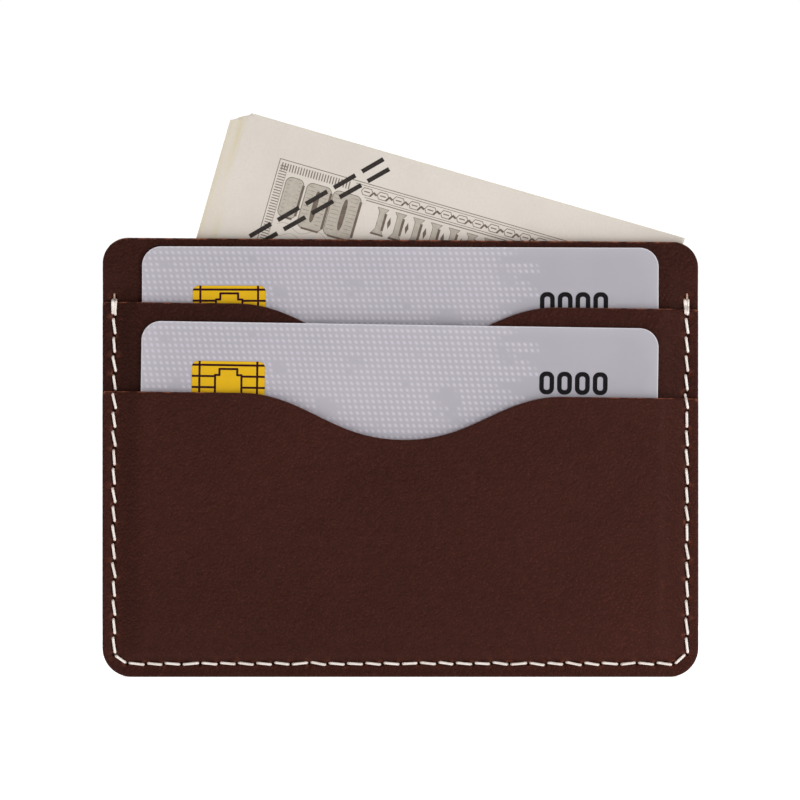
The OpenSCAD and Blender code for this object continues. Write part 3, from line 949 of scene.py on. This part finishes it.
class Card:
    """A card's own frame: middle and front face read from its CAD node, tilt as given."""

    def __init__(self, which, tilt):
        lo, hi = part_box(which + "_card_body")
        self.mid = ((lo.x + hi.x) / 2 / MM, (lo.z + hi.z) / 2 / MM)
        self.front = lo.y / MM
        self.c, self.s = math.cos(math.radians(tilt)), math.sin(math.radians(tilt))

    def at(self, x, z, back):
        """World place of card point x, z, as far back as given behind its front face."""
        x, z = np.asarray(x, float), np.asarray(z, float)
        back = np.broadcast_to(np.asarray(back, float), x.shape)
        return np.stack([
            self.mid[0] + x * self.c + z * self.s,
            self.front + back,
            self.mid[1] - x * self.s + z * self.c,
        ], -1)


def card_body(which, card, mat):
    loop = divided(round_rect(CARD_W, CARD_H, CARD_R, 16), 1.5)
    chip = divided(round_rect(CHIP[2] + 0.06, CHIP[3] + 0.06, 1.03, 8), 1.5) + [CHIP[0], CHIP[1]]
    core = divided(round_rect(8.4, 7.6, 1.2, 6), 1.5) + [CHIP[0], CHIP[1]]
    fv, ft, (fl, ch) = filled(loop, 3.0, (0.05, 0.13, 0.22), None, [chip])
    keep_v = np.unique(ft)
    s = away(fv, loop)
    fd = drop(s, 0.13)
    bv, bt, (bl,) = filled(loop, 4.0, (0.08,))
    bd = CARD_T - 0.005 - drop(away(bv, loop), 0.08)
    # each part also carries its weight of the painted edge highlight, strongest at the card's edges
    parts_v, parts_d, faces, rims = [fv], [fd], [tuple(map(int, t)) for t in ft], [ease(1 - s / 0.27)]
    at = len(fv)
    faces += [tuple(int(at + i) for i in t[::-1]) for t in bt]
    back_ids = at + np.array(bl)
    parts_v.append(bv)
    parts_d.append(bd)
    rims.append(ease(1 - away(bv, loop) / 0.2))
    at += len(bv)
    n = len(loop)
    # side wall
    mid_ids = at + np.arange(n)
    parts_v.append(loop)
    parts_d.append(np.full(n, CARD_T / 2))
    rims.append(np.ones(n))
    at += n
    fl = np.array(fl)
    for a, b in ((fl, mid_ids), (mid_ids, back_ids)):
        for i in range(n):
            j = (i + 1) % n
            faces.append((int(a[i]), int(b[i]), int(b[j]), int(a[j])))
    # milled pocket for the chip: a ledge for the tape and a deeper well for the potting
    m = len(chip)
    ledge_v, ledge_t, (lo_loop, core_loop) = filled(chip, 3.0, (), None, [core])
    ledge_ids = at
    parts_v.append(ledge_v)
    parts_d.append(np.full(len(ledge_v), 0.2))
    rims.append(np.zeros(len(ledge_v)))
    faces += [tuple(int(at + i) for i in t) for t in ledge_t]
    at += len(ledge_v)
    for i in range(m):
        j = (i + 1) % m
        faces.append((int(ch[i]), int(ch[j]), int(ledge_ids + lo_loop[j]), int(ledge_ids + lo_loop[i])))
    well_v, well_t, (wl,) = filled(core, 3.0)
    parts_v.append(well_v)
    parts_d.append(np.full(len(well_v), 0.52))
    rims.append(np.zeros(len(well_v)))
    faces += [tuple(int(at + i) for i in t) for t in well_t]
    for i in range(len(core)):
        j = (i + 1) % len(core)
        faces.append((int(ledge_ids + core_loop[i]), int(ledge_ids + core_loop[j]),
                      int(at + wl[j]), int(at + wl[i])))
    at += len(well_v)
    v2 = np.concatenate(parts_v)
    d = np.concatenate(parts_d)
    verts = card.at(v2[:, 0], v2[:, 1], d)
    o = make(which + "_card", verts, faces, mat, smooth=True, rim=np.concatenate(rims),
             card_xy=np.stack([v2[:, 0], v2[:, 1], d], 1))
    o.data.shade_smooth() if hasattr(o.data, "shade_smooth") else None
    sharpen(o, 40)
    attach(o, which + "_card")
    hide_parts(which + "_card_body")
    return o


def sharpen(o, degrees):
    """Marks edges sharper than the angle, so that flat faces stay flat."""
    me = o.data
    me.update()
    import bmesh

    bm = bmesh.new()
    bm.from_mesh(me)
    lim = math.radians(degrees)
    for e in bm.edges:
        e.smooth = not (len(e.link_faces) == 2 and e.calc_face_angle(0) > lim)
    bm.to_mesh(me)
    bm.free()


def solid_from_loops(pairs, thickness, lift, card):
    """Raised print: each pair is an outer loop and an inner loop or None, in card mm."""
    vs, fs, at = [], [], 0
    for outer, inner in pairs:
        if inner is None:
            v, t, (l,) = filled(outer, 50.0)
            tops = card.at(v[:, 0], v[:, 1], -lift - thickness)
            vs.append(tops)
            fs += [tuple(int(at + i) for i in q) for q in t]
            at += len(v)
            continue
        n = len(outer)
        ring = [card.at(p[:, 0], p[:, 1], -lift - thickness) for p in (outer, inner)]
        low = [card.at(p[:, 0], p[:, 1], 0.01) for p in (outer, inner)]
        vs += ring + low
        o0, i0, o1, i1 = at, at + n, at + 2 * n, at + 3 * n
        for k in range(n):
            j = (k + 1) % n
            fs.append((o0 + k, o0 + j, i0 + j, i0 + k))
            fs.append((o1 + k, o1 + j, o0 + j, o0 + k))
            fs.append((i0 + k, i0 + j, i1 + j, i1 + k))
            fs.append((i1 + k, i1 + j, o1 + j, o1 + k))
        at += 4 * n
    return np.concatenate(vs), fs


def squircle(cx, cz, w, h, r, n=10):
    return round_rect(w, h, r, n) + [cx, cz]


for which, tilt in (("upper", 0.17), ("lower", 0.86)):
    card = Card(which, tilt)
    card_body(which, card, card_material(which + "_card_face"))
    pairs = []
    for k in range(4):
        cx = 28.8 + (k - 1.5) * 2.95
        pairs.append((squircle(cx, 17.7, 2.46, 3.8, 1.1), squircle(cx, 17.7, 0.94, 2.28, 0.4)))
    v, f = solid_from_loops(pairs, 0.012, 0.004, card)
    o = make(which + "_card_digits", v, f, print_grey, smooth=False)
    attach(o, which + "_card")
    for node, mat in (("chip_contacts", gold), ("chip_carrier", tape), ("chip_resin", resin),
                      ("chip_die", silicon), ("magnetic_stripe", stripe), ("signature_panel", panel_white)):
        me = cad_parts[which + "_" + node].data
        me.materials.clear()
        me.materials.append(mat)

# -------------------------------------------------------------------- notes
TILT = math.radians(16.08)
TC, TS = math.cos(TILT), math.sin(TILT)
NOTE_H, LEAF = 66.3, 78.0
PAPER = 0.1


def note_point(u, v, d):
    """World place of a point u along a note from its fold and v down from its top edge, at depth d."""
    return np.stack([
        47.3 - u * TC - v * TS,
        np.full_like(np.asarray(u, float), 0) + BACK_Y - d,
        72.68 + u * TS - v * TC,
    ], -1)


def above(u, v):
    """How far a note point stands above the wallet's top edge, eased."""
    z = 72.68 + u * TS - v * TC
    return ease((z - 71.0) / 14.0)


def spread(u, v, amount):
    a = above(u, v)
    return a * (amount * ease(u / 80.0) + 0.10 * np.sin(u * 0.11 + v * 0.05) + 0.05 * np.sin(u * 0.27 - v * 0.2 + 1.0))


def crease(v):
    """An old crease down the free end of the note."""
    return 76.2 - 0.046 * (np.asarray(v, float) - 1.5)


def front_leaf(u, v):
    """Middle depth of the note's front leaf."""
    return D1 + 0.555 + spread(u, v, 0.55) + 0.16 * ease((u - crease(v)) / 1.6) * above(u, v)


def rear_leaf(u, v):
    return D1 + 0.105 + spread(u, v, -0.03)


def folded(name, fold_u, drop_v, width, front_fn, rear_fn, body, nv=60, skew=0.0):
    """A note folded once: its front leaf, the fold and its rear leaf as one closed sheet."""
    r = (front_fn(np.array([fold_u + 1.0]), np.array([30.0]))[0] - rear_fn(np.array([fold_u + 1.0]), np.array([30.0]))[0]) / 2
    flat_u = np.concatenate([np.linspace(width, 8, 74), np.linspace(7, r + 0.35, 10)])
    vlist = np.concatenate([[0, 0.06, 0.2, 0.45, 0.8, 1.25, 1.6, 1.93, 2.05], np.linspace(2.6, NOTE_H, nv)])
    cols = []
    for u in flat_u:
        cols.append(("f", u))
    for k in range(1, 8):
        cols.append(("b", k / 8 * math.pi))
    for u in flat_u[::-1]:
        cols.append(("r", u))
    centre = np.zeros((len(cols), len(vlist), 3))
    for i, (kind, val) in enumerate(cols):
        v = vlist.copy()
        if kind == "b":
            uu = np.full(len(v), r + 0.35)
            f, b = front_fn(uu + fold_u, v + drop_v), rear_fn(uu + fold_u, v + drop_v)
            mid, rr = (f + b) / 2, (f - b) / 2
            u = uu - np.sin(val) * (r + 0.2)
            d = mid + rr * np.cos(val)
        else:
            u = np.full(len(v), val)
            # the free corner is worn away
            limit = np.interp(v, [0, 0.45, 0.8, 1.25, 1.6, 1.93, 2.05],
                              [width - 3.1, width - 2.8, width - 2.0, width - 1.3, width - 0.9, width - 0.3, width])
            u = np.minimum(u, limit)
            d = (front_fn if kind == "f" else rear_fn)(u + fold_u, v + drop_v)
            if kind == "r":
                v = v + skew * u / width
        centre[i] = note_point(u + fold_u, v + drop_v, d)
    du = np.gradient(centre, axis=0)
    dv = np.gradient(centre, axis=1)
    nrm = np.cross(du, dv)
    nrm /= np.maximum(np.linalg.norm(nrm, axis=2), 1e-9)[..., None]
    nrm *= np.sign((nrm[5, 5] @ np.array([0, -1.0, 0])))
    a, b = centre + nrm * PAPER / 2, centre - nrm * PAPER / 2
    ni, nj = len(cols), len(vlist)
    verts = np.concatenate([a.reshape(-1, 3), b.reshape(-1, 3)])
    off = ni * nj
    faces = []

    def idx(i, j):
        return i * nj + j

    for i in range(ni - 1):
        for j in range(nj - 1):
            q = (idx(i, j), idx(i, j + 1), idx(i + 1, j + 1), idx(i + 1, j))
            faces.append(q)
            faces.append(tuple(off + k for k in q[::-1]))
    border = [idx(i, 0) for i in range(ni)] + [idx(ni - 1, j) for j in range(1, nj)] \
        + [idx(i, nj - 1) for i in range(ni - 2, -1, -1)] + [idx(0, j) for j in range(nj - 2, 0, -1)]
    for p, q in zip(border, border[1:] + border[:1]):
        faces.append((p, q, off + q, off + p))
    uu = np.array([c[1] if c[0] != "b" else 0.0 for c in cols])[:, None] + 0 * vlist
    vv = 0 * uu + vlist
    worn = np.maximum(0.6 * ease(1 - (width - uu) / 0.5), 0.35 * ease(1 - vv / 0.3))
    # along the crease: partly wear, partly painted shade in its valley
    worn = np.maximum(worn, 0.85 * ease(1 - np.abs(uu - crease(vv)) / 0.55))
    # past the crease: painted shade over the whole strip
    worn = np.maximum(worn, 0.22 * (uu > crease(vv)))
    worn = np.concatenate([worn.ravel(), worn.ravel()])
    o = make(name, verts, faces, paper, worn=worn)
    sharpen(o, 60)
    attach(o, body)
    return o


note = folded("folded_note", 0.0, 0.0, LEAF, front_leaf, rear_leaf, "banknote")
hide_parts("banknote")


# the engraving: thin ink that follows the front leaf
class Ink:
    def __init__(self, rear=False):
        self.v, self.f, self.n, self.rear = [], [], 0, rear

    def depth(self, u, v, lift):
        if self.rear:
            return rear_leaf(u, v) - PAPER / 2 - lift
        return front_leaf(u, v) + PAPER / 2 + lift

    def patch(self, quad, lift=0.006, step=0.6):
        """A four-cornered patch given in note mm, divided so that it follows the paper."""
        q = np.asarray(quad, float) * [1.0046, 1.0] + [0, 0.05]
        nu = max(1, int(np.ceil(max(np.linalg.norm(q[1] - q[0]), np.linalg.norm(q[2] - q[3])) / step)))
        nv = max(1, int(np.ceil(max(np.linalg.norm(q[3] - q[0]), np.linalg.norm(q[2] - q[1])) / step)))
        for j in range(nv + 1):
            for i in range(nu + 1):
                a, b = i / nu, j / nv
                p = (q[0] * (1 - a) + q[1] * a) * (1 - b) + (q[3] * (1 - a) + q[2] * a) * b
                self.v.append(note_point(p[:1], p[1:2], self.depth(p[:1], p[1:2], lift))[0])
        for j in range(nv):
            for i in range(nu):
                a = self.n + j * (nu + 1) + i
                self.f.append((a, a + 1, a + nu + 2, a + nu + 1))
        self.n += (nu + 1) * (nv + 1)

    def line(self, pts, w, lift=0.006, closed=False):
        p = np.asarray(pts, float)
        if closed:
            p = np.concatenate([p, p[:1]])
        for a, b in zip(p[:-1], p[1:]):
            d = b - a
            length = np.linalg.norm(d)
            if length < 1e-6:
                continue
            d = d / length
            nn = np.array([-d[1], d[0]]) * w / 2
            a2, b2 = a - d * w * 0.2, b + d * w * 0.2
            self.patch([a2 - nn, b2 - nn, b2 + nn, a2 + nn], lift)

    def shape(self, loop, lift=0.006):
        loop = np.asarray(loop, float) * [1.0046, 1.0] + [0, 0.05]
        v, t, _ = filled(loop[::-1] if area_of(loop) < 0 else loop, 0.8)
        self.v += list(note_point(v[:, 0], v[:, 1], self.depth(v[:, 0], v[:, 1], lift)))
        self.f += [tuple(int(self.n + i) for i in q) for q in t]
        self.n += len(v)

    def finish(self, name, mat):
        o = make(name, np.array(self.v), self.f, mat, smooth=True)
        face_front(o, 1 if self.rear else -1)
        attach(o, "banknote")
        return o


def area_of(p):
    p = np.asarray(p, float)
    q = np.roll(p, -1, axis=0)
    return (p[:, 0] * q[:, 1] - q[:, 0] * p[:, 1]).sum() / 2


def face_front(o, way=-1):
    """Turns every face towards the front, or towards the back."""
    me = o.data
    import bmesh

    bm = bmesh.new()
    bm.from_mesh(me)
    bm.normal_update()
    for f in bm.faces:
        if f.normal.y * way < 0:
            f.normal_flip()
    bm.to_mesh(me)
    bm.free()


def tablet(u0, u1, v0, v1, r):
    return divided(round_rect(abs(u1 - u0), abs(v1 - v0), r, 6), 0.8) + [(u0 + u1) / 2, (v0 + v1) / 2]


def engraving(lines, shade, tint):
    """Generic security print on one leaf: rules, ticks, tablets, a chain and balusters."""
    V0 = 5.85
    # frame: a double rule round the leaf
    lines.line([(67.9, 58.0), (67.9, V0), (3.0, V0)], 0.13)
    lines.line([(66.35, 58.0), (66.35, 7.75)], 0.07)
    # tick border down the left and along the top
    for k in range(26):
        u = 67.3 - 0.46 * k
        if u > 55.4:
            lines.line([(u, 6.35), (u - 0.02, 7.55)], 0.19)
    for k in range(60):
        v = 6.9 + 0.46 * k
        lines.line([(67.55, v), (66.45, v)], 0.17)
    # three engraved tablets, a lens in the second and third, shaded on the right and below
    for k, (u0, u1) in enumerate(((66.0, 62.95), (62.4, 58.2), (57.9, 53.1))):
        foot_v = 15.0 if k == 0 else 15.9
        t_out = tablet(u0, u1, 8.3, foot_v, 1.0)
        tint.shape(t_out, 0.005)
        lines.line(t_out, 0.12, 0.010, closed=True)
        shade.line([(u1 + 0.02, 9.2), (u1 + 0.02, foot_v - 0.7)], 0.42, 0.012)
        shade.line([(u1 + 0.5, foot_v + 0.02), (u0 - 0.9, foot_v + 0.02)], 0.34, 0.012)
        mid = (u0 + u1) / 2
        lens = [(mid + 0.42 * math.cos(a), 12.0 + 2.7 * np.sign(math.sin(a)) * abs(math.sin(a)) ** 0.6) for a in np.linspace(0, 2 * math.pi, 17)[:-1]]
        if k:
            shade.shape(lens, 0.012)
        for j in range(10):
            v = 8.9 + j * 0.66
            lines.line([(u0 - 0.35, v), (mid + 0.75, v)], 0.06, 0.009)
            lines.line([(mid - 0.75, v), (u1 + 0.45, v)], 0.06, 0.009)
    # chain border along the top
    lines.line([(52.4, 8.55), (3.0, 8.55)], 0.16)
    lines.line([(54.8, 6.25), (3.0, 6.25)], 0.10)
    lines.line([(52.8, 8.18), (3.0, 8.18)], 0.10)
    for k in range(18):
        u = 53.6 - 2.72 * k
        hexa = [(u, 7.2), (u - 0.35, 6.62), (u - 1.6, 6.62), (u - 1.95, 7.2), (u - 1.6, 7.8), (u - 0.35, 7.8)]
        lines.line(hexa, 0.13, closed=True)
        shade.line([(u - 1.62, 7.74), (u - 1.98, 7.16)], 0.3, 0.010)
        lines.line([(u - 0.5, 7.2), (u - 1.4, 7.2)], 0.2, 0.010)
        shade.line([(u - 2.05, 7.05), (u - 2.6, 7.35)], 0.34, 0.010)
    # a row of balusters under it
    for k in range(13):
        u = 50.2 - 3.05 * k
        tint.shape([(u, 9.1), (u - 1.9, 9.1), (u - 1.5, 9.75), (u - 1.35, 12.6), (u - 1.9, 13.4), (u, 13.4),
                    (u - 0.55, 12.6), (u - 0.4, 9.75)][::-1], 0.006)
        lines.line([(u, 9.1), (u - 1.9, 9.1), (u - 1.42, 9.8), (u - 1.42, 12.6), (u - 1.9, 13.4), (u, 13.4), (u - 0.48, 12.6),
                    (u - 0.48, 9.8)], 0.09, 0.010, closed=True)
        shade.line([(u - 1.62, 9.9), (u - 1.62, 12.7)], 0.36, 0.012)
        diamond = [(u - 2.45, 10.2), (u - 2.75, 11.2), (u - 2.45, 12.2), (u - 2.15, 11.2)]
        shade.shape(diamond[::-1], 0.010)
        shade.line([(u + 0.1, 13.55), (u - 2.0, 13.55)], 0.26, 0.012)
    # pale guilloche between the tablets and the frame
    for k in range(7):
        pts = [(u, 16.4 + 1.5 * k + 0.55 * math.sin(u * 1.15 + k * 1.7)) for u in np.linspace(65.5, 20, 110)]
        tint.line(pts, 0.10, 0.005)


lines, shade, tint, dashes = Ink(), Ink(), Ink(), Ink()
engraving(lines, shade, tint)
# plain dashes in two slanted rows
for k in range(5):
    a = np.array([69.15, 19.55]) + k * np.array([-3.72, -3.87])
    dashes.line([a, a + [-2.62, -2.75]], 0.74, 0.020)
for k in range(5):
    a = np.array([67.75, 20.72]) + k * np.array([-3.70, -3.84])
    dashes.line([a, a + [-2.66, -2.72]], 0.74, 0.020)
tint.finish("note_print_tint", ink_pale)
lines.finish("note_print_lines", ink)
shade.finish("note_print_shadow", ink_dark)
dashes.finish("note_print_dashes", dash_ink)
# the other half of the same printed face shows on the rear leaf
lines, shade, tint = Ink(True), Ink(True), Ink(True)
engraving(lines, shade, tint)
tint.finish("rear_print_tint", ink_pale)
lines.finish("rear_print_lines", ink)
shade.finish("rear_print_shadow", ink_dark)

# -------------------------------------------------------- floor, light, camera
fm, ft_, fb = nodes_of("pale_floor")
fv = place(ft_)
link(ft_, mix_rgb(ft_, noise(ft_, fv, 3.0, 2.0), (0.93, 0.93, 0.93, 1), (0.96, 0.96, 0.96, 1)), fb.inputs["Base Color"])
fb.inputs["Roughness"].default_value = 1.0
fb.inputs["Specular IOR Level"].default_value = 0.0
# a light table: white glass, lit from below as well
fb.inputs["Emission Color"].default_value = (1, 1, 1, 1)
fb.inputs["Emission Strength"].default_value = 0.72
floor = bpy.data.meshes.new("floor")
floor.from_pydata([(-0.45, -0.45, 0), (0.45, -0.45, 0), (0.45, 0.45, 0), (-0.45, 0.45, 0)], [], [(0, 1, 2, 3)])
floor.materials.append(fm)
floor = bpy.data.objects.new("floor", floor)
bpy.context.scene.collection.objects.link(floor)
floor.location.z = -0.00002

world = bpy.data.worlds.new("studio")
bpy.context.scene.world = world
world.use_nodes = True
wt = world.node_tree
bg = wt.nodes["Background"]
path = wt.nodes.new("ShaderNodeLightPath")
wt.links.new(mix_rgb(wt, path.outputs["Is Camera Ray"], (0.21, 0.21, 0.213, 1), (1.05, 1.05, 1.05, 1)), bg.inputs["Color"])
bg.inputs["Strength"].default_value = 1.0


def softbox(name, where, target, size, watts, colour=(1, 1, 1)):
    d = bpy.data.lights.new(name, "AREA")
    d.shape = "RECTANGLE"
    d.size, d.size_y = size
    d.energy = watts
    d.color = colour
    o = bpy.data.objects.new(name, d)
    bpy.context.scene.collection.objects.link(o)
    o.location = where
    o.rotation_mode = "QUATERNION"
    o.rotation_quaternion = (Vector(target) - Vector(where)).to_track_quat("-Z", "Y")
    return o


softbox("key", (0.42, -0.50, 0.13), (0, 0, 0.045), (0.32, 0.32), 2.0)
softbox("fill", (-0.55, -0.60, 0.16), (0, 0, 0.045), (0.4, 0.4), 0.45)
sun = bpy.data.lights.new("overhead", "SUN")
sun.energy = 1.2
sun.angle = math.radians(8)
sun = bpy.data.objects.new("overhead", sun)
bpy.context.scene.collection.objects.link(sun)
sun.rotation_euler = (math.radians(-2.5), 0, 0)

cam = bpy.data.cameras.new("camera")
cam.type = "PERSP"
cam.sensor_width = 36.0
cam.lens = 500.0
width_mm = 800 / 6.037
reach = width_mm * cam.lens / cam.sensor_width * MM
cam.clip_start, cam.clip_end = 0.05, 20.0
camera = bpy.data.objects.new("camera", cam)
bpy.context.scene.collection.objects.link(camera)
camera.location = (-0.066 * MM, (BACK_Y - D4) * MM - reach, 45.86 * MM)
camera.rotation_euler = (math.radians(90), 0, 0)
bpy.context.scene.camera = camera
bpy.context.scene.view_settings.view_transform = "Standard"
